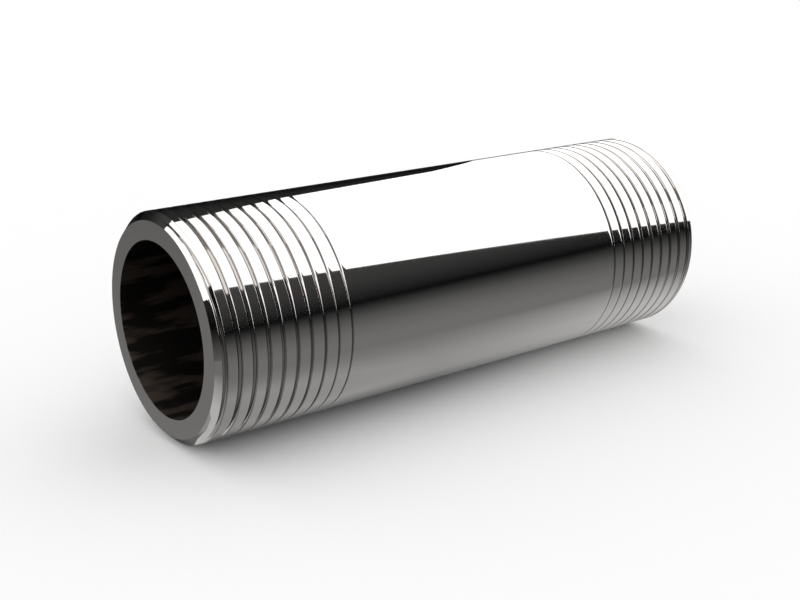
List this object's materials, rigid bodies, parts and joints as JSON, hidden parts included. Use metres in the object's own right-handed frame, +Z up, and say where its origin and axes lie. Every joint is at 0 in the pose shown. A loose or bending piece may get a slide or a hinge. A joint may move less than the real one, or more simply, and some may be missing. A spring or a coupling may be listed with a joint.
{
  "type": "pipe nipple",
  "caption": "Straight heavy steel pipe nipple, a short length of tube with the same tapered outside pipe thread on both ends and a plain middle, open right through.",
  "frame": {"origin": "middle of the bottom end face, on the tube's axis", "axes": "+Z up along the tube's axis, from one end face to the other; X and Y lie across the tube"},
  "size_m": [0.0269, 0.0268, 0.075],
  "materials": {
    "bright_steel": "bright drawn steel tube, smooth and glossy, with cleanly cut threads and a finely turned end face"
  },
  "bodies": {
    "root": {"pipe_nipple": "bright_steel"}
  },
  "joints": []
}
